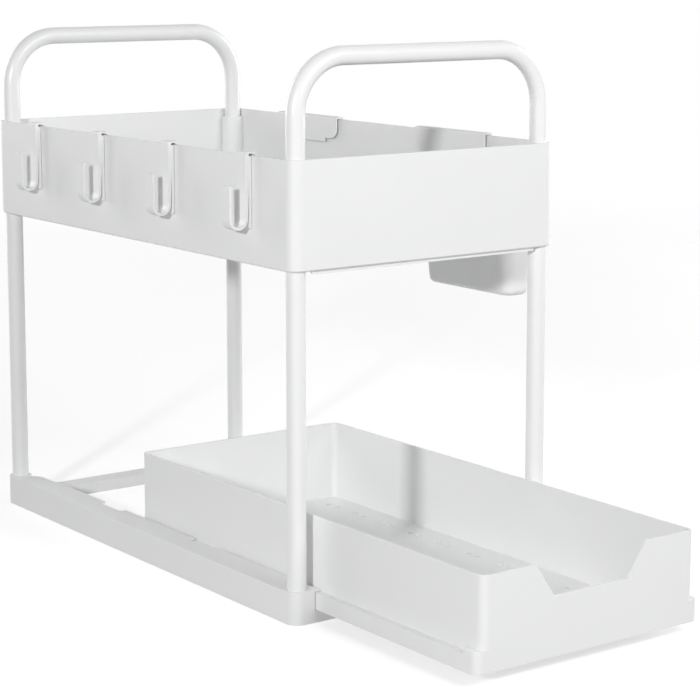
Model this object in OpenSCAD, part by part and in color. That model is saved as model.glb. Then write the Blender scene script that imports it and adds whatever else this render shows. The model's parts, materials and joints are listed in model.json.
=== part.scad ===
// Two-tier pull-out spice rack
// A low open base carries a sliding drawer and four round posts. The posts carry a deep tray, and two bent
// tubes stand in the tray as handles. Four hooks clip on the tray's left wall and two cups on its right wall.
// The origin is the middle of the footprint, on the surface that the rack stands on. X runs across the rack
// to the right, Y from the drawer's front to the back, and Z up. The drawer is drawn partly pulled out.

/* [Frame] */
// Width of the base and the tray, across the drawer's travel
frame_w = 225; // [200:1:320]
// Length of the base and the tray, along the drawer's travel
frame_l = 410; // [340:1:520]
// Thickness of the moulded walls
wall_t = 2.2; // [1.8:0.1:3]
// Outside diameter of the round tubes
tube_d = 13; // [11:0.5:16]
// Wall thickness of the tubes
tube_wall = 0.8; // [0.6:0.1:1.2]
// Room all round a tube in its socket
socket_gap = 0.1; // [0.05:0.05:0.3]

/* [Base] */
// Height of the side rails
base_h = 22.6; // [20:0.2:40]
// Width of a side rail, from its outer face to the inner edge of its lip
rail_w = 21.1; // [19:0.1:30]
// Thickness of the lip over the drawer's channel
lip_t = 1.4; // [1:0.1:2.4]
// How far the lip reaches over the channel
lip_overhang = 3.7; // [2:0.1:6]
// How much narrower the lip is at its rear end
lip_step = 1.6; // [0.4:0.1:2.4]
// Length of the narrower end of the lip
lip_step_l = 24; // [10:1:40]
// Width of the front and rear cross bars
bar_w = 19.5; // [12:0.5:30]
// Height of the cross bars, and of the ledges that carry the drawer
bar_h = 8.8; // [6:0.1:10]
// Width of a ledge, inwards from the channel wall
ledge_w = 15.1; // [8:0.1:24]
// Thickness of the ledges and of the tops of the cross bars
ledge_t = 2; // [1.4:0.1:3]
// Distance from the middle of the base to the middle of a notch in the lip
notch_y = 65; // [40:1:90]
// Length of a notch in the lip
notch_l = 31; // [10:1:40]
// Depth of a notch in the lip
notch_depth = 4.9; // [2:0.1:7]
// Thickness of the floor of a post's socket
socket_floor_t = 2.4; // [1.6:0.1:4]

/* [Drawer] */
// Length of the drawer
drawer_l = 400; // [320:1:405]
// Height of the drawer, from its underside to its rim
drawer_h = 62; // [45:1:110]
// Radius of the drawer's upright corners
drawer_r = 6.2; // [4:0.1:12]
// Thickness of the drawer's floor
drawer_floor_t = 2; // [1.4:0.1:3]
// How far the drawer is pulled out, from closed
drawer_out = 154; // [0:1:240]
// How far the drawer comes out before its lugs meet the front bar
drawer_reach = 247; // [241:1:270]
// Gap between the drawer's side and the lip
side_gap = 1.7; // [0.5:0.1:3]
// Gap between the drawer's skirt and the channel wall
skirt_gap = 0.6; // [0.3:0.1:1.5]
// Gap under the drawer, and between its skirt and the lip
run_gap = 0.3; // [0.2:0.1:0.5]
// Gap behind the drawer's stops when it is closed
stop_gap = 0.5; // [0.3:0.1:1.5]
// Length of the stops at the drawer's front
stop_l = 12.2; // [6:0.2:20]
// Height of the stops above the skirt
stop_rise = 3.2; // [2:0.1:6]
// Width of the cut-out in the drawer's front, at the rim
cut_top_w = 93.4; // [70:0.2:120]
// Width of the cut-out at its bottom edge
cut_bottom_w = 62.8; // [40:0.2:69]
// Depth of the cut-out
cut_h = 22.3; // [12:0.1:30]
// Diameter of the drain holes
drain_d = 5; // [3:0.5:8]
// Distance between the two holes of a pair
drain_pair = 10.5; // [9:0.5:14]
// Distance between the pairs along the drawer
drain_pitch = 34.8; // [26:0.2:60]
// Distance between the rows of pairs across the drawer
drain_row = 46; // [30:1:50]
// Width of the lugs under the drawer's floor
lug_w = 14; // [8:1:20]
// Thickness of the lugs
lug_t = 4; // [2:0.2:6]
// How far the lugs hang down from the floor
lug_drop = 4.1; // [2.5:0.1:5]

/* [Tray] */
// Height of the tray's underside above the floor
tray_z = 236.8; // [180:1:320]
// Depth of the tray's walls
tray_h = 73; // [60:1:110]
// Thickness of the tray's floor
tray_floor_t = 2.2; // [1.6:0.1:3]
// Bevel along the tray's lower edge
foot_bevel = 1; // [0.5:0.1:1.5]
// Distance from the rim down to the top of a corner column
column_drop = 5.8; // [3:0.1:12]
// Depth of a post's socket in the underside of a column
post_socket_h = 26; // [15:1:30]
// Thickness of the web between a post and a handle
web_t = 2.4; // [1.6:0.1:4]
// Height of the ribs under the tray's front and rear edges
rib_h = 2.4; // [1:0.1:4]
// Distance of those ribs from the tray's outer faces
rib_inset = 2.5; // [1.2:0.1:4]

/* [Handles] */
// Height of a handle above the tray's rim
handle_rise = 72.1; // [60:0.1:120]
// Radius of the handle's bends, to the middle of the tube
bend_r = 38; // [30:1:60]

/* [Clips] */
// Gap between a clip and the wall that it hangs on
clip_gap = 0.3; // [0.2:0.1:0.5]
// Width of a hook
hook_w = 10; // [6:0.1:16]
// Thickness of a hook's band
hook_t = 2; // [1.4:0.1:2.4]
// Thickness of a hook's neck, above the place where the band leaves the back plate
hook_neck_t = 4.9; // [4.4:0.1:7]
// Thickness of a hook's back plate
hook_back_t = 2; // [1.4:0.1:2.4]
// Thickness of a hook over its eye and inside the wall
hook_clip_t = 1.4; // [1:0.1:2]
// Height of the eye over the rim
hook_eye_h = 1.7; // [1:0.1:2.4]
// Length of the eye over the rim
hook_eye_l = 3.3; // [2.6:0.1:3.8]
// How far the eye reaches below the rim
hook_eye_drop = 0.5; // [0:0.1:0.6]
// Length of a hook's leg inside the tray, below the rim
hook_leg = 13; // [8:1:24]
// Length of a hook's back plate, below the rim
hook_back_h = 48; // [40:1:60]
// Depth below the rim at which the band leaves the back plate
hook_split = 18.3; // [14:0.1:24]
// Clear width of the hook's mouth
hook_mouth = 10.7; // [8:0.1:16]
// Depth below the rim of the hook's tip
hook_tip_drop = 19.2; // [14:0.1:26]
// Distance from the rim down to the bottom of the hook
hook_h = 49.1; // [46:0.1:66]

/* [Cups] */
// Width of a cup at its rim, along the wall
cup_top_w = 107; // [90:1:130]
// Width of a cup at its bottom
cup_bottom_w = 98.5; // [70:0.5:110]
// Distance from the clip to a cup's front wall, at the rim
cup_top_d = 42; // [36:0.5:70]
// Thickness of a cup at its bottom, from back to front
cup_bottom_d = 26.5; // [24:0.5:60]
// How far the cup's back leans off the wall at the bottom
cup_lean = 9; // [4:0.5:12]
// Height of a cup
cup_h = 109.5; // [70:0.5:130]
// Distance from the tray's rim down to the cup's rim
cup_drop = 9.8; // [4:0.2:14]
// Height of the straight band round the cup's rim
cup_band = 3; // [2:0.5:6]
// Thickness of a cup's walls
cup_t = 1.8; // [1.4:0.1:2.4]
// Radius of a cup's upright corners
cup_r = 11; // [10.5:0.5:13]
// Radius of a cup's lower edges
cup_foot_r = 5; // [3:0.5:5]
// Width of a cup's clip
clip_w = 82; // [68:1:88]
// Thickness of a cup's clip
clip_t = 1.4; // [1:0.1:2]
// Gap between the clip and the inside of the wall
clip_slack = 2; // [0.3:0.1:2.4]
// Length of the clip inside the tray, below the rim
clip_leg = 15.6; // [12:0.2:40]
// Length of the clip outside the tray, below the rim
clip_back = 20; // [18:1:40]
// Radius of the clip's lower corners
clip_r = 8; // [4:0.5:10]
// Width of the tongue under the clip
tongue_w = 51; // [20:1:51]
// How far the tongue reaches below the clip
tongue_h = 3.2; // [1:0.1:8]

/* [Hidden] */
$fn = 64;

// Extra length of a cut past the face that it opens
overrun = 1;
// Segments round the cups' rounded forms
form_fn = 32;
// Places of the hooks and the cups along the wall, from its middle, as shares of the frame's length
hook_shares = [0.3341, 0.0976, -0.139, -0.3756];
cup_shares = [-0.2244, 0.2244];

// Half sizes of the frame, its corners and the posts' axes
half_w = frame_w / 2;
half_l = frame_l / 2;
bore_d = tube_d + 2 * socket_gap;
corner_r = bore_d / 2 + wall_t;
post_x = half_w - corner_r;
post_y = half_l - corner_r;

// Rails: inner edge of the lip, inner face of the channel wall, inner edge of the ledge
lip_x = half_w - rail_w;
channel_x = lip_x + lip_overhang;
ledge_x = channel_x - ledge_w;
lip_z = base_h - lip_t;
bar_y = half_l - bar_w;
// Radius of the lip's rounded rear end, and the place where it begins
lip_end_r = post_x - lip_x - lip_step;
lip_end_y = post_y - corner_r - lip_end_r - socket_gap;
rail_end_r = post_x - channel_x;

// Drawer: half widths of its body and its skirt, and its height above the floor
drawer_half = lip_x - side_gap;
skirt_half = channel_x - skirt_gap;
drawer_z = bar_h + run_gap;
skirt_h = lip_z - run_gap - drawer_z;
stop_h = skirt_h + stop_rise;
drawer_front = -half_l - stop_gap - stop_l - drawer_out;
drawer_mid = drawer_front + drawer_l / 2;
cut_z = drawer_h - cut_h;
lug_y = drawer_reach - drawer_out - bar_y;
lug_x = ledge_x - lug_w - side_gap;
drain_pairs = floor((drawer_l / 2 - drain_pitch / 2) / drain_pitch);
drain_rows = floor((drawer_half - wall_t - drain_d) / drain_row - 1 / 2);

// Tray: its rim and the seat of the handles
rim_z = tray_z + tray_h;
column_h = tray_h - column_drop;
post_top = tray_z + post_socket_h;
handle_seat = post_top + web_t;
bar_z = rim_z + handle_rise - tube_d / 2;

// Hook section: u runs outwards from the wall's outer face, v up from the rim
hook_back_u = clip_gap + hook_back_t;
hook_arm_u = clip_gap + hook_neck_t;
hook_outer_r = hook_mouth / 2 + hook_t;
hook_bend_u = hook_arm_u + hook_mouth / 2;
hook_bend_v = hook_outer_r - hook_h;
hook_top_v = hook_eye_h - hook_eye_drop + hook_clip_t;
hook_slot_w = wall_t + 2 * clip_gap;
hook_leg_u = -wall_t - clip_gap - hook_clip_t;

// Cup: faces of its back and front, outwards from the wall's outer face
cup_rim_z = rim_z - cup_drop;
cup_back_u = clip_gap + clip_t / 2;
cup_front_u = clip_gap + cup_top_d;
cup_foot_u = cup_back_u + cup_lean;

// The children at both ends across the rack
module both_sides() {
    children();
    mirror([1, 0, 0]) children();
}

// The children at the front and the back
module both_ends() {
    children();
    mirror([0, 1, 0]) children();
}

// An upright block with rounded corners, centred on the Z axis
module rounded_block(w, l, r, h) {
    linear_extrude(height = h) {
        square([w - 2 * r, l], center = true);
        square([w, l - 2 * r], center = true);
        for (x = [r - w / 2, w / 2 - r], y = [r - l / 2, l / 2 - r])
            translate([x, y]) circle(r = r);
    }
}

// The foot of a rounded block, with a bevel as high as it is wide, and as much again above it
module bevelled_foot(w, l, r, h) {
    module slope(length, width) {
        rotate([90, 0, 0]) linear_extrude(height = length, center = true)
            polygon([[h - width / 2, 0], [width / 2 - h, 0], [width / 2, h], [width / 2, 2 * h],
                [-width / 2, 2 * h], [-width / 2, h]]);
    }
    slope(l - 2 * r, w);
    rotate([0, 0, 90]) slope(w - 2 * r, l);
    for (x = [r - w / 2, w / 2 - r], y = [r - l / 2, l / 2 - r])
        translate([x, y]) rotate_extrude() polygon([[0, 0], [r - h, 0], [r, h], [r, 2 * h], [0, 2 * h]]);
}

// The top of a rail, with its rounded rear end
module rail_top() {
    step_y = lip_end_y - lip_step_l;
    translate([0, 0, lip_z]) linear_extrude(height = lip_t) difference() {
        union() {
            translate([lip_x, -half_l]) square([post_x - lip_x, half_l + step_y]);
            translate([lip_x + lip_step, step_y - lip_step]) square([lip_end_r, lip_step_l + lip_step]);
            translate([post_x, -post_y]) square([corner_r, 2 * post_y]);
            intersection() {
                translate([post_x, lip_end_y]) circle(r = lip_end_r);
                translate([lip_x, lip_end_y - wall_t]) square([post_x - lip_x + wall_t, lip_end_r + 2 * wall_t]);
            }
        }
        for (y = [-notch_y, notch_y])
            translate([lip_x - overrun, y - notch_l / 2]) square([notch_depth + overrun, notch_l]);
    }
}

// The wall that closes a rail's hollow at the rear
module rail_end() {
    translate([post_x, lip_end_y, 0]) {
        difference() {
            cylinder(h = base_h - lip_t / 2, r = rail_end_r);
            translate([0, 0, -overrun]) cylinder(h = base_h + 2 * overrun, r = rail_end_r - wall_t);
            translate([0, -rail_end_r - overrun, -overrun])
                cube([rail_end_r + overrun, 2 * (rail_end_r + overrun), base_h + 2 * overrun]);
            translate([-rail_end_r - overrun, -rail_end_r - overrun, -overrun])
                cube([rail_end_r + 2 * overrun, rail_end_r + overrun, base_h + 2 * overrun]);
        }
        translate([0, rail_end_r - wall_t, 0]) cube([corner_r - wall_t / 2, wall_t, base_h - lip_t / 2]);
    }
}

// The right rail: outer wall, top, channel wall and the ledge that the drawer runs on
module rail() {
    channel_l = lip_end_y + half_l;
    rail_top();
    rail_end();
    translate([half_w - wall_t, -post_y, 0]) cube([wall_t, 2 * post_y, base_h]);
    translate([channel_x, -half_l, 0]) cube([wall_t, channel_l, base_h - lip_t / 2]);
    translate([channel_x, -half_l, 0]) cube([post_x - channel_x, wall_t, base_h]);
    translate([ledge_x, -bar_y - wall_t / 2, bar_h - ledge_t])
        cube([ledge_w + wall_t / 2, 2 * bar_y + wall_t, ledge_t]);
    translate([ledge_x, -bar_y - wall_t / 2, 0]) cube([wall_t, 2 * bar_y + wall_t, bar_h]);
}

// A low cross bar, open underneath
module cross_bar() {
    translate([-post_x, -half_l, 0]) difference() {
        cube([2 * post_x, bar_w, bar_h]);
        translate([-overrun, wall_t, -overrun])
            cube([2 * (post_x + overrun), bar_w - 2 * wall_t, bar_h - ledge_t + overrun]);
    }
}

// Moulded base: two rails, two cross bars and a post socket in each corner
module base_frame() color("whitesmoke") {
    difference() {
        union() {
            both_sides() rail();
            both_ends() cross_bar();
            for (x = [-post_x, post_x], y = [-post_y, post_y])
                translate([x, y, 0]) cylinder(h = base_h, r = corner_r);
        }
        for (x = [-post_x, post_x], y = [-post_y, post_y])
            translate([x, y, socket_floor_t]) cylinder(h = base_h, d = bore_d);
    }
}

// Outside of the drawer: its body, the skirts along its sides and the stops at its front
module drawer_outside() {
    rounded_block(2 * drawer_half, drawer_l, drawer_r, drawer_h);
    rounded_block(2 * skirt_half, drawer_l, drawer_r, skirt_h);
    intersection() {
        rounded_block(2 * skirt_half, drawer_l, drawer_r, stop_h);
        translate([-half_w, -drawer_l, 0]) cube([frame_w, drawer_l / 2 + stop_l, base_h]);
    }
}

// The hollow under a skirt, on the right side
module skirt_hollow() {
    translate([drawer_half, wall_t - drawer_l / 2, -overrun])
        cube([skirt_half - wall_t - drawer_half, drawer_l - 2 * wall_t, skirt_h - drawer_floor_t + overrun]);
}

// The cut-out in the front wall
module front_cut() {
    top = cut_top_w / 2;
    bottom = cut_bottom_w / 2;
    slope = (top - bottom) / cut_h;
    translate([0, wall_t + drawer_r - drawer_l / 2, cut_z])
        rotate([90, 0, 0]) linear_extrude(height = wall_t + drawer_r + overrun)
            polygon([[-bottom, 0], [bottom, 0], [top + slope * overrun, cut_h + overrun],
                [-top - slope * overrun, cut_h + overrun]]);
}

// Pairs of drain holes in rows along the floor
module drain_holes() {
    for (row = [0:drain_rows], pair = [-drain_pairs:drain_pairs], half = [-1 / 2, 1 / 2])
        translate([(row + 1 / 2) * drain_row, pair * drain_pitch + half * drain_pair, -overrun])
            cylinder(h = drawer_floor_t + 2 * overrun, d = drain_d);
}

// Moulded drawer
module drawer() color("white") {
    translate([0, drawer_mid, drawer_z]) difference() {
        drawer_outside();
        translate([0, 0, drawer_floor_t])
            rounded_block(2 * (drawer_half - wall_t), drawer_l - 2 * wall_t, drawer_r - wall_t, drawer_h);
        both_sides() skirt_hollow();
        front_cut();
        both_sides() drain_holes();
    }
    both_sides() translate([lug_x, lug_y, drawer_z - lug_drop])
        cube([lug_w, lug_t, lug_drop + drawer_floor_t / 2]);
}

// Space inside the tray, with the corner columns left standing
module tray_space() {
    translate([0, 0, tray_floor_t]) difference() {
        rounded_block(frame_w - 2 * wall_t, frame_l - 2 * wall_t, corner_r - wall_t, tray_h);
        for (x = [-post_x, post_x], y = [-post_y, post_y])
            translate([x, y, -overrun]) cylinder(h = column_h - tray_floor_t + overrun, r = corner_r);
    }
}

// Moulded tray with a socket column in each corner
module tray() color("white") {
    seat_h = handle_seat - tray_z;
    translate([0, 0, tray_z]) difference() {
        union() {
            translate([0, 0, foot_bevel]) rounded_block(frame_w, frame_l, corner_r, tray_h - foot_bevel);
            bevelled_foot(frame_w, frame_l, corner_r, foot_bevel);
            both_ends() translate([corner_r - post_x, rib_inset - half_l, -rib_h])
                cube([2 * (post_x - corner_r), wall_t, rib_h + foot_bevel]);
        }
        tray_space();
        for (x = [-post_x, post_x], y = [-post_y, post_y]) translate([x, y, 0]) {
            translate([0, 0, -overrun]) cylinder(h = post_socket_h + overrun, d = bore_d);
            translate([0, 0, seat_h]) cylinder(h = column_h - seat_h, d = bore_d);
        }
    }
}

// A straight round tube post; the signs choose its corner
module post(side, end) color("ghostwhite") {
    translate([side * post_x, end * post_y, socket_floor_t]) difference() {
        cylinder(h = post_top - socket_floor_t, d = tube_d);
        translate([0, 0, -overrun])
            cylinder(h = post_top - socket_floor_t + 2 * overrun, d = tube_d - 2 * tube_wall);
    }
}

module post_front_left() {
    post(-1, -1);
}

module post_front_right() {
    post(1, -1);
}

module post_rear_left() {
    post(-1, 1);
}

module post_rear_right() {
    post(1, 1);
}

// Solid form of a handle at a given tube diameter, with its legs' lower ends at a given height
module handle_form(d, foot_z) {
    bar_half = post_x - bend_r;
    both_sides() {
        translate([post_x, 0, foot_z]) cylinder(h = bar_z - bend_r - foot_z, d = d);
        translate([bar_half, 0, bar_z - bend_r]) rotate([90, 0, 0])
            rotate_extrude(angle = 90) translate([bend_r, 0]) circle(d = d);
    }
    translate([-bar_half, 0, bar_z]) rotate([0, 90, 0]) cylinder(h = 2 * bar_half, d = d);
}

// A bent tube handle, standing in the two columns at one end
module handle(end) color("ghostwhite") {
    translate([0, end * post_y, 0]) difference() {
        handle_form(tube_d, handle_seat);
        handle_form(tube_d - 2 * tube_wall, handle_seat - overrun);
    }
}

module handle_front() {
    handle(-1);
}

module handle_rear() {
    handle(1);
}

// The eye through a hook, over the rim
module hook_eye_outline() {
    r = hook_eye_h / 2;
    translate([hook_back_u, r - hook_eye_drop]) {
        translate([r - hook_eye_l, -r]) square([hook_eye_l - 2 * r, 2 * r]);
        for (u = [r - hook_eye_l, -r])
            translate([u, 0]) circle(r = r);
    }
}

// Clip of a hook over the rim, with its neck and back plate outside, seen along the wall
module hook_clip_outline() {
    difference() {
        union() {
            translate([hook_leg_u, -hook_leg])
                square([hook_arm_u - hook_leg_u, hook_leg + hook_top_v - hook_clip_t]);
            translate([hook_leg_u + hook_clip_t, 0])
                square([hook_arm_u - hook_leg_u - 2 * hook_clip_t, hook_top_v]);
            for (u = [hook_leg_u + hook_clip_t, hook_arm_u - hook_clip_t])
                translate([u, hook_top_v - hook_clip_t]) circle(r = hook_clip_t);
            translate([clip_gap, -hook_split]) square([hook_neck_t, hook_split]);
            translate([clip_gap, -hook_back_h]) square([hook_back_t, hook_back_h]);
        }
        translate([clip_gap - hook_slot_w, -hook_leg - overrun])
            square([hook_slot_w, hook_leg + clip_gap + overrun]);
        hook_eye_outline();
    }
}

// Inner arm of a hook, which leaves the back plate at the split
module hook_arm_outline() {
    polygon([[hook_back_u, -hook_split], [hook_arm_u, -hook_split], [hook_arm_u, hook_bend_v],
        [hook_arm_u - hook_t, hook_bend_v]]);
}

// Bend at the bottom of a hook
module hook_bend_outline() {
    translate([hook_bend_u, hook_bend_v]) difference() {
        circle(r = hook_outer_r);
        circle(r = hook_mouth / 2);
        translate([-hook_outer_r - overrun, 0]) square(2 * (hook_outer_r + overrun));
    }
}

// Outer arm of a hook
module hook_tip_outline() {
    translate([hook_bend_u + hook_mouth / 2, hook_bend_v]) square([hook_t, -hook_tip_drop - hook_bend_v]);
}

// A hook that clips on the left wall; place is its number along the wall, from the rear
module hook(place) color("white") {
    translate([-half_w, hook_shares[place] * frame_l + hook_w / 2, rim_z]) mirror([1, 0, 0]) rotate([90, 0, 0]) {
        linear_extrude(height = hook_w) hook_clip_outline();
        linear_extrude(height = hook_w) hook_arm_outline();
        linear_extrude(height = hook_w) hook_bend_outline();
        linear_extrude(height = hook_w) hook_tip_outline();
    }
}

module hook_1() {
    hook(0);
}

module hook_2() {
    hook(1);
}

module hook_3() {
    hook(2);
}

module hook_4() {
    hook(3);
}

// Rounded form of a cup, drawn in by an inset on every side but the rim
module cup_form(inset, extra_h) {
    top_half = cup_top_w / 2 - cup_r;
    bottom_half = cup_bottom_w / 2 - cup_r;
    hull() {
        for (u = [cup_back_u + cup_r, cup_front_u - cup_r], y = [-top_half, top_half])
            translate([u, y, -cup_band]) cylinder(h = cup_band + extra_h, r = cup_r - inset, $fn = form_fn);
        for (u = [cup_foot_u + cup_r, cup_foot_u + cup_bottom_d - cup_r], y = [-bottom_half, bottom_half])
            translate([u, y, cup_foot_r - cup_h])
                rotate_extrude($fn = form_fn) translate([cup_r - cup_foot_r, 0]) circle(r = cup_foot_r - inset);
    }
}

// The tab of a cup's clip inside the tray, seen from the side, with its tongue
module clip_tab_outline() {
    translate([-clip_w / 2, clip_r - clip_leg]) square([clip_w, clip_leg - clip_r + clip_gap]);
    translate([clip_r - clip_w / 2, -clip_leg]) square([clip_w - 2 * clip_r, clip_leg]);
    for (y = [clip_r - clip_w / 2, clip_w / 2 - clip_r])
        translate([y, clip_r - clip_leg]) circle(r = clip_r);
    translate([-tongue_w / 2, -clip_leg - tongue_h]) square([tongue_w, clip_leg]);
}

// The rounded bend of a cup's clip over the inner edge of the rim, seen along the wall
module clip_bend_outline() {
    intersection() {
        circle(r = clip_t);
        translate([-clip_t, 0]) square(clip_t);
    }
}

// The clip that hangs a cup on the wall, from the wall's outer face
module cup_clip() {
    inner_u = -wall_t - clip_slack - clip_t;
    translate([inner_u, 0, 0]) rotate([90, 0, 90]) linear_extrude(height = clip_t) clip_tab_outline();
    translate([inner_u + clip_t, clip_w / 2, clip_gap])
        rotate([90, 0, 0]) linear_extrude(height = clip_w) clip_bend_outline();
    translate([inner_u + clip_t, -clip_w / 2, clip_gap])
        cube([wall_t + clip_slack + clip_gap + clip_t, clip_w, clip_t]);
    translate([clip_gap, -clip_w / 2, -clip_back]) cube([clip_t, clip_w, clip_back + clip_gap + clip_t / 2]);
}

// A cup that clips on the right wall
module cup(place) color("white") {
    translate([half_w, cup_shares[place] * frame_l, rim_z]) difference() {
        union() {
            translate([0, 0, -cup_drop]) cup_form(0, 0);
            cup_clip();
        }
        translate([0, 0, -cup_drop]) cup_form(cup_t, overrun);
    }
}

module cup_front() {
    cup(0);
}

module cup_rear() {
    cup(1);
}

base_frame();
drawer();
tray();
post_front_left();
post_front_right();
post_rear_left();
post_rear_right();
handle_front();
handle_rear();
hook_1();
hook_2();
hook_3();
hook_4();
cup_front();
cup_rear();
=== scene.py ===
"""Looks of the two-tier pull-out spice rack, laid out as an add-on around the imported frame.

Every moulded part is a copy of its CAD node with rounded edges, and the tubes keep their CAD meshes. Plastic
and powder coat are procedural materials on Object coordinates. Sizes are in metres, in the frame's own axes.
"""

import json
import math

import bmesh
import bpy
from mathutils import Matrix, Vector

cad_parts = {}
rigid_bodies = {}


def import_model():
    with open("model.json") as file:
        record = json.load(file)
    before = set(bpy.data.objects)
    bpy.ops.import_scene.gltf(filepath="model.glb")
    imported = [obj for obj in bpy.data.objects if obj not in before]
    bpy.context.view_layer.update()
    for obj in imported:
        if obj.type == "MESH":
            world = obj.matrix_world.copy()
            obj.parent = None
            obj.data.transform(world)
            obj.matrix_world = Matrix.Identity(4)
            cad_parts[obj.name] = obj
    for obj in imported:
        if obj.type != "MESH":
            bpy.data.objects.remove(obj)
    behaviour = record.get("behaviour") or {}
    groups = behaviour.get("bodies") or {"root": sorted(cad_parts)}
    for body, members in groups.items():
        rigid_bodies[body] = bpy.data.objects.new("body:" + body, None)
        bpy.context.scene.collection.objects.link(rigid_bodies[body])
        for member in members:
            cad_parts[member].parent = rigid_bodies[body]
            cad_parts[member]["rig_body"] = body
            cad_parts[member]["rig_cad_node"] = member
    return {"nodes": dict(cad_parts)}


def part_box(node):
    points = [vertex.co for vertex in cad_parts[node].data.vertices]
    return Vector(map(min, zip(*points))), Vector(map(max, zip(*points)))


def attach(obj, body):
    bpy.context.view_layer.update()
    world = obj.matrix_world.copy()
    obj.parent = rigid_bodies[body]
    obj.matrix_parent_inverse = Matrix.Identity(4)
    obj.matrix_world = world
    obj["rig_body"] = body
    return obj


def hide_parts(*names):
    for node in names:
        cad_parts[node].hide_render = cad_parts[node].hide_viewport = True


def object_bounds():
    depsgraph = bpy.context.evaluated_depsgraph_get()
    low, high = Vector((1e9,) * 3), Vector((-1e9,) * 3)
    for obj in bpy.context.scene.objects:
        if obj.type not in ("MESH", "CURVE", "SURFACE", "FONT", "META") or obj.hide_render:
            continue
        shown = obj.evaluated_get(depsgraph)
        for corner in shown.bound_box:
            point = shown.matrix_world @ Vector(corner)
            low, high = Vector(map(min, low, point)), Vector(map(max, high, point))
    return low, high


bl_info = {
    "name": "Two-Tier Spice Rack",
    "version": (1, 0, 0),
    "blender": (4, 5, 0),
    "location": "3D View > Sidebar > Spice Rack",
    "description": "Gives the packed rack rounded edges, moulded plastic, powder coat and a pale studio",
    "category": "Object",
}

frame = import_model()
CAD_LOW, CAD_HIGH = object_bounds()

MM = 0.001
HOOKS = ("hook_1", "hook_2", "hook_3", "hook_4")
CUPS = ("cup_front", "cup_rear")
POSTS = ("post_front_left", "post_front_right", "post_rear_left", "post_rear_right")
HANDLES = ("handle_front", "handle_rear")

# Corners of the CAD mesh that lie closer than this are one corner
MERGE = 0.002 * MM
# Faces that meet at less than this are one flat face
FLAT_ANGLE = math.radians(0.1)
# Outer edges sharper than this are rounded, apart from the rims of holes smaller than SMALL_RIM
ROUND_ANGLE = math.radians(38)
SMALL_RIM = 6 * MM
# Steps across a rounded edge
ROUND_STEPS = 2
# Edges sharper than this stay crisp in shading
CRISP_ANGLE = math.radians(32)
# How far large faces rule the shading of shared corners, where 50 is even
FLAT_WEIGHT = 80

# Kinds of node sockets
NUMBER = "NodeSocketFloat"
VECTOR = "NodeSocketVector"
COLOR = "NodeSocketColor"
# Mean of a noise texture
NOISE_MEAN = 0.5

# Width of the camera's sensor, in millimetres
SENSOR_WIDTH = 36
# Corners of the round floor, and the share of its reach within which it doesn't fade
FLOOR_CORNERS = 96
FLOOR_WHOLE_SHARE = 1 / 3


class RackFinish(bpy.types.PropertyGroup):
    """Sizes and colours of the rack's surfaces."""

    plastic_color: bpy.props.FloatVectorProperty(
        name="Plastic", description="Colour of the moulded parts", subtype="COLOR", size=3,
        min=0, max=1, default=(0.86, 0.862, 0.865))
    plastic_roughness: bpy.props.FloatProperty(
        name="Plastic roughness", description="Roughness of the satin plastic", subtype="FACTOR",
        min=0.1, max=1, default=0.42)
    grain_size: bpy.props.FloatProperty(
        name="Grain size", description="Width of one grain of the moulded texture", subtype="DISTANCE",
        unit="LENGTH", min=0.0001, max=0.005, precision=5, default=0.0006)
    grain_depth: bpy.props.FloatProperty(
        name="Grain depth", description="Depth of the moulded texture", subtype="DISTANCE",
        unit="LENGTH", min=0, max=0.001, precision=6, default=0.000016)
    tube_color: bpy.props.FloatVectorProperty(
        name="Tube", description="Colour of the powder coat", subtype="COLOR", size=3,
        min=0, max=1, default=(0.88, 0.882, 0.885))
    tube_roughness: bpy.props.FloatProperty(
        name="Tube roughness", description="Roughness of the powder coat", subtype="FACTOR",
        min=0.1, max=1, default=0.32)
    peel_size: bpy.props.FloatProperty(
        name="Peel size", description="Width of one dimple of the orange peel", subtype="DISTANCE",
        unit="LENGTH", min=0.0002, max=0.01, precision=5, default=0.0016)
    peel_depth: bpy.props.FloatProperty(
        name="Peel depth", description="Depth of the orange peel", subtype="DISTANCE",
        unit="LENGTH", min=0, max=0.001, precision=6, default=0.00003)
    case_edge: bpy.props.FloatProperty(
        name="Case edges", description="Radius of the edges of the tray, the drawer and the base",
        subtype="DISTANCE", unit="LENGTH", min=0.0001, max=0.001, precision=5, default=0.0003)
    clip_edge: bpy.props.FloatProperty(
        name="Clip edges", description="Radius of the edges of the hooks and the cups",
        subtype="DISTANCE", unit="LENGTH", min=0.0001, max=0.001, precision=5, default=0.0003)


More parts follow.
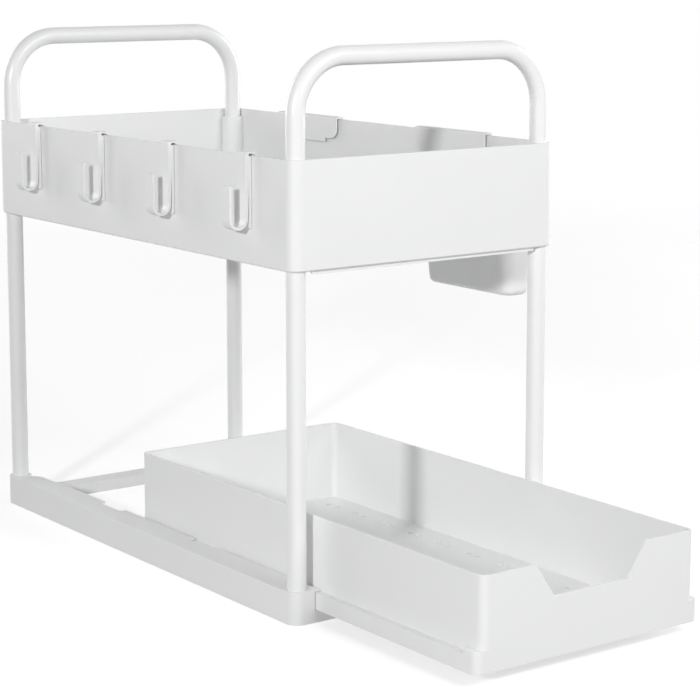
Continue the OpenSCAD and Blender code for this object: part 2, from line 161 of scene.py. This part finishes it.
class RackStage(bpy.types.PropertyGroup):
    """Camera, floor and lamps."""

    camera_place: bpy.props.FloatVectorProperty(
        name="Camera", description="Place of the camera", subtype="TRANSLATION", unit="LENGTH", size=3,
        default=(-0.8946, -1.3386, 0.445))
    camera_yaw: bpy.props.FloatProperty(
        name="Yaw", description="Turn of the camera from +Y towards +X", subtype="ANGLE", unit="ROTATION",
        default=math.radians(36.153))
    camera_pitch: bpy.props.FloatProperty(
        name="Pitch", description="How far the camera looks down", subtype="ANGLE", unit="ROTATION",
        default=math.radians(8.762))
    camera_lens: bpy.props.FloatProperty(
        name="Lens", description="Focal length on a 36 mm sensor, in millimetres", min=20, max=300,
        default=111.06)
    camera_shift: bpy.props.FloatProperty(
        name="Shift", description="Vertical shift of the lens, as a share of the picture",
        min=-0.3, max=0.3, default=-0.1)
    floor_color: bpy.props.FloatVectorProperty(
        name="Floor", description="Colour of the floor", subtype="COLOR", size=3, min=0, max=1,
        default=(0.62, 0.62, 0.62))
    floor_lift: bpy.props.FloatProperty(
        name="Floor lift", description="Light added to the floor for the camera alone", min=0, max=1,
        default=0.6)
    floor_reach: bpy.props.FloatProperty(
        name="Floor reach", description="Radius at which the floor has faded into the backdrop",
        subtype="DISTANCE", unit="LENGTH", min=0.5, max=10, default=2.4)
    world_strength: bpy.props.FloatProperty(
        name="Room light", description="Strength of the even light from all round", min=0, max=3,
        default=0.135)


# Name, place, width, height, power in watts; every lamp looks at the middle of the rack
LAMPS = (
    ("key", (-1.97, -1.37, 0.87), 0.16, 0.16, 28.4),
    ("front", (0.25, -1.4, 0.95), 1.0, 0.6, 10.1),
    ("right", (2.4, -0.2, 0.8), 1.4, 1.4, 32.0),
    ("rear", (-0.7, 2.3, 0.8), 1.4, 1.4, 20.0),
)


def deselect():
    """Leaves nothing selected."""
    bpy.ops.object.select_all(action="DESELECT")


def pick(piece):
    """Makes one object the only selected one."""
    deselect()
    piece.select_set(True)
    bpy.context.view_layer.objects.active = piece


def finish_modifiers(piece):
    """Applies every modifier of a piece, in order."""
    pick(piece)
    for modifier in list(piece.modifiers):
        bpy.ops.object.modifier_apply(modifier=modifier.name)


def merged_copy(node, name):
    """A copy of a CAD node whose loose triangles are merged and whose slivers on flat faces are turned."""
    pick(frame["nodes"][node])
    bpy.ops.object.duplicate()
    piece = bpy.context.view_layer.objects.active
    piece.name = name
    piece.data.name = name
    piece.parent = None
    # A copy is no CAD node, so it drops the marks of one
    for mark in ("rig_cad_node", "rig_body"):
        del piece[mark]
    bpy.ops.object.mode_set(mode="EDIT")
    bpy.ops.mesh.select_all(action="SELECT")
    bpy.ops.mesh.customdata_custom_splitnormals_clear()
    bpy.ops.mesh.remove_doubles(threshold=MERGE)
    bpy.ops.mesh.beautify_fill(angle_limit=FLAT_ANGLE)
    bpy.ops.object.mode_set(mode="OBJECT")
    return piece


def connected(edges):
    """Splits a set of edges into the sets that hang together."""
    left = set(edges)
    while left:
        chain = set()
        ahead = [left.pop()]
        while ahead:
            edge = ahead.pop()
            chain.add(edge)
            near = {other for corner in edge.verts for other in corner.link_edges} & left
            left -= near
            ahead.extend(near)
        yield chain


def span(chain):
    """Largest side of the box round a set of edges."""
    corners = [corner.co for edge in chain for corner in edge.verts]
    return max(max(co[axis] for co in corners) - min(co[axis] for co in corners) for axis in range(3))


def mark_edges(piece):
    """Gives every sharp outer edge a bevel weight, apart from the rims of small holes."""
    pick(piece)
    mesh = bmesh.new()
    mesh.from_mesh(piece.data)
    weight = mesh.edges.layers.float.new("bevel_weight_edge")
    sharp = [edge for edge in mesh.edges if edge.calc_face_angle(0) > ROUND_ANGLE]
    for chain in connected(sharp):
        if span(chain) > SMALL_RIM:
            for edge in chain:
                edge[weight] = float(edge.is_convex)
    mesh.to_mesh(piece.data)
    mesh.free()


def keep_inside(piece, low, high):
    """Puts corners that the rounding pushed out of the part's own box back onto it."""
    for corner in piece.data.vertices:
        corner.co = [min(max(value, least), most) for value, least, most in zip(corner.co, low, high)]


def round_edges(piece, radius, low, high):
    """Rounds a moulded part's outer edges and keeps its flat faces flat in shading."""
    mark_edges(piece)
    edges = piece.modifiers.new("Edges", "BEVEL")
    edges.width = radius
    edges.segments = ROUND_STEPS
    edges.limit_method = "WEIGHT"
    edges.use_clamp_overlap = False
    edges.loop_slide = False
    finish_modifiers(piece)
    keep_inside(piece, low, high)
    bpy.ops.object.shade_smooth_by_angle(angle=CRISP_ANGLE)
    flats = piece.modifiers.new("Flats", "WEIGHTED_NORMAL")
    flats.weight = FLAT_WEIGHT
    flats.keep_sharp = True
    finish_modifiers(piece)


def coat(piece, material):
    """Gives every face of a piece one material."""
    piece.data.materials.clear()
    piece.data.materials.append(material)


def dress(node, name, radius):
    """A moulded part that stands for its CAD node, with rounded edges and the plastic's finish."""
    piece = merged_copy(node, name)
    round_edges(piece, radius, *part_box(node))
    coat(piece, moulded_plastic())
    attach(piece, frame["nodes"][node]["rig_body"])
    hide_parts(node)


def dress_tube(node):
    """A tube keeps its CAD mesh and takes the powder coat in its own slot."""
    tube = frame["nodes"][node]
    coat(tube, powder_coat())


def feed(tree, node, values):
    """Gives a node's sockets, by name or number, a constant or the output of another node."""
    for label, value in values.items():
        if isinstance(value, bpy.types.NodeSocket):
            tree.links.new(value, node.inputs[label])
        else:
            node.inputs[label].default_value = value


def add_node(tree, kind, values, **settings):
    """A shader node with its settings made and its sockets fed."""
    node = tree.nodes.new(kind)
    for name, value in settings.items():
        setattr(node, name, value)
    feed(tree, node, values)
    return node


def math_node(tree, operation, first, second):
    """Result of a Math node; each side is a socket or a number."""
    return add_node(tree, "ShaderNodeMath", {0: first, 1: second}, operation=operation).outputs[0]


def new_group(name, inputs, outputs):
    """An empty shader node group with named sockets, what it is given, and its last node."""
    group = bpy.data.node_groups.new(name, "ShaderNodeTree")
    for label, kind in inputs.items():
        group.interface.new_socket(label, in_out="INPUT", socket_type=kind)
    for label, kind in outputs.items():
        group.interface.new_socket(label, in_out="OUTPUT", socket_type=kind)
    return group, group.nodes.new("NodeGroupInput").outputs, group.nodes.new("NodeGroupOutput")


def texture_place(group, given):
    """What puts a texture on a group's given vector, at its given size."""
    return {"Vector": given["Vector"], "Scale": math_node(group, "DIVIDE", 1.0, given["Size"])}


def grain_group():
    """Fine moulded grain: small round-topped bumps of two sizes."""
    group, given, made = new_group(
        "Fine grain", {"Vector": VECTOR, "Size": NUMBER, "Depth": NUMBER}, {"Height": NUMBER})
    place = texture_place(group, given)
    coarse = add_node(group, "ShaderNodeTexNoise", {**place, "Detail": 3.0, "Roughness": 0.6})
    cells = add_node(group, "ShaderNodeTexVoronoi", {**place, "Smoothness": 0.6}, feature="SMOOTH_F1")
    both = math_node(group, "ADD", coarse.outputs["Fac"], cells.outputs["Distance"])
    feed(group, made, {"Height": math_node(group, "MULTIPLY", both, given["Depth"])})
    return group


def peel_group():
    """Orange peel of a baked powder coat: soft wide dimples."""
    group, given, made = new_group(
        "Orange peel", {"Vector": VECTOR, "Size": NUMBER, "Depth": NUMBER}, {"Height": NUMBER})
    dimples = add_node(
        group, "ShaderNodeTexNoise", {**texture_place(group, given), "Detail": 1.5, "Roughness": 0.45})
    feed(group, made, {"Height": math_node(group, "MULTIPLY", dimples.outputs["Fac"], given["Depth"])})
    return group


def mottle_group():
    """Slow change of tone and gloss over a surface, as melt flow and handling leave it."""
    if "Slow mottle" in bpy.data.node_groups:
        return bpy.data.node_groups["Slow mottle"]
    group, given, made = new_group(
        "Slow mottle",
        {"Vector": VECTOR, "Size": NUMBER, "Color": COLOR, "Tone": NUMBER, "Roughness": NUMBER,
         "Gloss": NUMBER},
        {"Color": COLOR, "Roughness": NUMBER})
    clouds = add_node(
        group, "ShaderNodeTexNoise", {**texture_place(group, given), "Detail": 4.0, "Distortion": 0.4})
    swing = math_node(group, "SUBTRACT", clouds.outputs["Fac"], NOISE_MEAN)
    tone = math_node(group, "ADD", math_node(group, "MULTIPLY", swing, given["Tone"]), 1.0)
    tint = add_node(group, "ShaderNodeVectorMath", {0: given["Color"], "Scale": tone}, operation="SCALE")
    gloss = math_node(group, "MULTIPLY", swing, given["Gloss"])
    feed(group, made, {
        "Color": tint.outputs["Vector"],
        "Roughness": math_node(group, "ADD", gloss, given["Roughness"]),
    })
    return group


def finish_material(name, relief, relief_values, mottle_values, constants):
    """A painted or moulded surface: mottled colour and gloss under a fine relief."""
    material = bpy.data.materials.new(name)
    material.use_nodes = True
    tree = material.node_tree
    place = {"Vector": add_node(tree, "ShaderNodeTexCoord", {}).outputs["Object"]}
    tone = add_node(tree, "ShaderNodeGroup", {**place, **mottle_values}, node_tree=mottle_group())
    height = add_node(tree, "ShaderNodeGroup", {**place, **relief_values}, node_tree=relief)
    bump = add_node(tree, "ShaderNodeBump", {"Distance": 1.0, "Height": height.outputs["Height"]})
    feed(tree, tree.nodes["Principled BSDF"], {
        "Base Color": tone.outputs["Color"],
        "Roughness": tone.outputs["Roughness"],
        "Normal": bump.outputs["Normal"],
        **constants,
    })
    return material


def moulded_plastic():
    """White injection-moulded plastic with a fine satin grain."""
    finish = bpy.context.scene.rack_finish
    return bpy.data.materials.get("Moulded plastic") or finish_material(
        "Moulded plastic", grain_group(), {"Size": finish.grain_size, "Depth": finish.grain_depth},
        {"Size": 60 * MM, "Color": (*finish.plastic_color, 1), "Tone": 0.03,
         "Roughness": finish.plastic_roughness, "Gloss": 0.12},
        {"Specular IOR Level": 0.45})


def powder_coat():
    """White powder coat, baked on steel tube, with a light orange peel."""
    finish = bpy.context.scene.rack_finish
    return bpy.data.materials.get("Powder coat") or finish_material(
        "Powder coat", peel_group(), {"Size": finish.peel_size, "Depth": finish.peel_depth},
        {"Size": 30 * MM, "Color": (*finish.tube_color, 1), "Tone": 0.02,
         "Roughness": finish.tube_roughness, "Gloss": 0.08},
        {"Specular IOR Level": 0.5, "Coat Weight": 0.25, "Coat Roughness": 0.2})


def seen_only(tree):
    """1 for what the eye, a reflection or a pane sees directly, and 0 for what lights the rack."""
    path = add_node(tree, "ShaderNodeLightPath", {}).outputs
    glossy = math_node(tree, "MAXIMUM", path["Is Camera Ray"], path["Is Glossy Ray"])
    return math_node(tree, "MAXIMUM", glossy, path["Is Transmission Ray"])


def floor_material(stage):
    """Pale matt floor that keeps the rack's shadow and fades out into the white backdrop."""
    material = bpy.data.materials.new("Pale floor")
    material.use_nodes = True
    tree = material.node_tree
    tree.nodes.remove(tree.nodes["Principled BSDF"])
    matt = add_node(tree, "ShaderNodeBsdfDiffuse", {"Color": (*stage.floor_color, 1)})
    strength = math_node(tree, "MULTIPLY", seen_only(tree), stage.floor_lift)
    lift = add_node(tree, "ShaderNodeEmission", {"Strength": strength})
    whole = add_node(tree, "ShaderNodeAddShader", {0: matt.outputs[0], 1: lift.outputs[0]})
    coordinates = add_node(tree, "ShaderNodeTexCoord", {}).outputs["Object"]
    away = add_node(tree, "ShaderNodeVectorMath", {0: coordinates}, operation="LENGTH")
    fade = add_node(
        tree, "ShaderNodeMapRange",
        {"Value": away.outputs["Value"], "From Min": stage.floor_reach * FLOOR_WHOLE_SHARE,
         "From Max": stage.floor_reach},
        interpolation_type="SMOOTHSTEP")
    clear = add_node(tree, "ShaderNodeBsdfTransparent", {})
    mix = add_node(
        tree, "ShaderNodeMixShader", {0: fade.outputs["Result"], 1: whole.outputs[0], 2: clear.outputs[0]})
    feed(tree, tree.nodes["Material Output"], {"Surface": mix.outputs[0]})
    return material


def make_world(stage):
    """Even room light, seen as a white backdrop."""
    world = bpy.data.worlds.new("White room")
    bpy.context.scene.world = world
    world.use_nodes = True
    tree = world.node_tree
    seen = seen_only(tree)
    unseen = math_node(tree, "MULTIPLY", math_node(tree, "SUBTRACT", 1.0, seen), stage.world_strength)
    feed(tree, tree.nodes["Background"], {
        "Color": (1, 1, 1, 1),
        "Strength": math_node(tree, "ADD", seen, unseen),
    })


def make_lamp(name, place, width, height, power, target):
    """A soft rectangular lamp that looks at the rack."""
    lamp = bpy.data.lights.new(name, "AREA")
    lamp.shape = "RECTANGLE"
    lamp.size = width
    lamp.size_y = height
    lamp.energy = power
    holder = bpy.data.objects.new(name, lamp)
    bpy.context.scene.collection.objects.link(holder)
    holder.location = place
    holder.visible_camera = False
    holder.rotation_euler = (target - Vector(place)).to_track_quat("-Z", "Y").to_euler()


def make_camera(stage):
    """Camera at the photograph's angle."""
    data = bpy.data.cameras.new("Camera")
    data.lens = stage.camera_lens
    data.sensor_width = SENSOR_WIDTH
    data.shift_y = stage.camera_shift
    camera = bpy.data.objects.new("Camera", data)
    bpy.context.scene.collection.objects.link(camera)
    camera.location = stage.camera_place
    camera.rotation_euler = (math.pi / 2 - stage.camera_pitch, 0, -stage.camera_yaw)
    bpy.context.scene.camera = camera


class RACK_OT_stage(bpy.types.Operator):
    """Add the camera, the pale floor, the room light and the lamps"""

    bl_idname = "rack.stage"
    bl_label = "Stage"

    def execute(self, context):
        stage = context.scene.rack_stage
        context.scene.view_settings.view_transform = "Standard"
        make_camera(stage)
        make_world(stage)
        deselect()
        bpy.ops.mesh.primitive_circle_add(
            vertices=FLOOR_CORNERS, radius=stage.floor_reach, fill_type="NGON")
        floor = context.active_object
        floor.name = "Floor"
        coat(floor, floor_material(stage))
        target = (CAD_LOW + CAD_HIGH) / 2
        for name, place, width, height, power in LAMPS:
            make_lamp(name, place, width, height, power, target)
        return {"FINISHED"}


class RACK_OT_base_frame(bpy.types.Operator):
    """Dress the base frame with rounded edges"""

    bl_idname = "rack.base_frame"
    bl_label = "Base Frame"

    def execute(self, context):
        dress("base_frame", "moulded_base", context.scene.rack_finish.case_edge)
        return {"FINISHED"}


class RACK_OT_drawer(bpy.types.Operator):
    """Dress the drawer with rounded edges"""

    bl_idname = "rack.drawer"
    bl_label = "Drawer"

    def execute(self, context):
        dress("drawer", "moulded_drawer", context.scene.rack_finish.case_edge)
        return {"FINISHED"}


class RACK_OT_tray(bpy.types.Operator):
    """Dress the tray with rounded edges"""

    bl_idname = "rack.tray"
    bl_label = "Tray"

    def execute(self, context):
        dress("tray", "moulded_tray", context.scene.rack_finish.case_edge)
        return {"FINISHED"}


class RACK_OT_tubes(bpy.types.Operator):
    """Coat the posts and the handles"""

    bl_idname = "rack.tubes"
    bl_label = "Posts and Handles"

    def execute(self, context):
        for node in POSTS + HANDLES:
            dress_tube(node)
        return {"FINISHED"}


class RACK_OT_hooks(bpy.types.Operator):
    """Dress the hooks with rounded edges"""

    bl_idname = "rack.hooks"
    bl_label = "Hooks"

    def execute(self, context):
        for node in HOOKS:
            dress(node, "moulded_" + node, context.scene.rack_finish.clip_edge)
        return {"FINISHED"}


class RACK_OT_cups(bpy.types.Operator):
    """Dress the cups with rounded edges"""

    bl_idname = "rack.cups"
    bl_label = "Cups"

    def execute(self, context):
        for node in CUPS:
            dress(node, "moulded_" + node, context.scene.rack_finish.clip_edge)
        return {"FINISHED"}


class RACK_PT_sidebar(bpy.types.Panel):
    """Lists the rack's sizes, finishes and building steps."""

    bl_idname = "RACK_PT_sidebar"
    bl_label = "Spice Rack"
    bl_space_type = "VIEW_3D"
    bl_region_type = "UI"
    bl_category = "Spice Rack"

    def draw(self, context):
        for settings in (context.scene.rack_finish, context.scene.rack_stage):
            box = self.layout.box()
            for name in settings.__annotations__:
                box.prop(settings, name)
        for step in STEPS:
            self.layout.operator(step.bl_idname)


STEPS = (RACK_OT_stage, RACK_OT_base_frame, RACK_OT_drawer, RACK_OT_tray, RACK_OT_tubes, RACK_OT_hooks,
         RACK_OT_cups)
CLASSES = (RackFinish, RackStage, *STEPS, RACK_PT_sidebar)


def register():
    for each in CLASSES:
        bpy.utils.register_class(each)
    bpy.types.Scene.rack_finish = bpy.props.PointerProperty(type=RackFinish)
    bpy.types.Scene.rack_stage = bpy.props.PointerProperty(type=RackStage)


def unregister():
    del bpy.types.Scene.rack_stage
    del bpy.types.Scene.rack_finish
    for each in reversed(CLASSES):
        bpy.utils.unregister_class(each)


def main():
    """Dresses the rack step by step."""
    register()
    for step in STEPS:
        area, name = step.bl_idname.split(".")
        getattr(getattr(bpy.ops, area), name)()


if __name__ == "__main__":
    main()
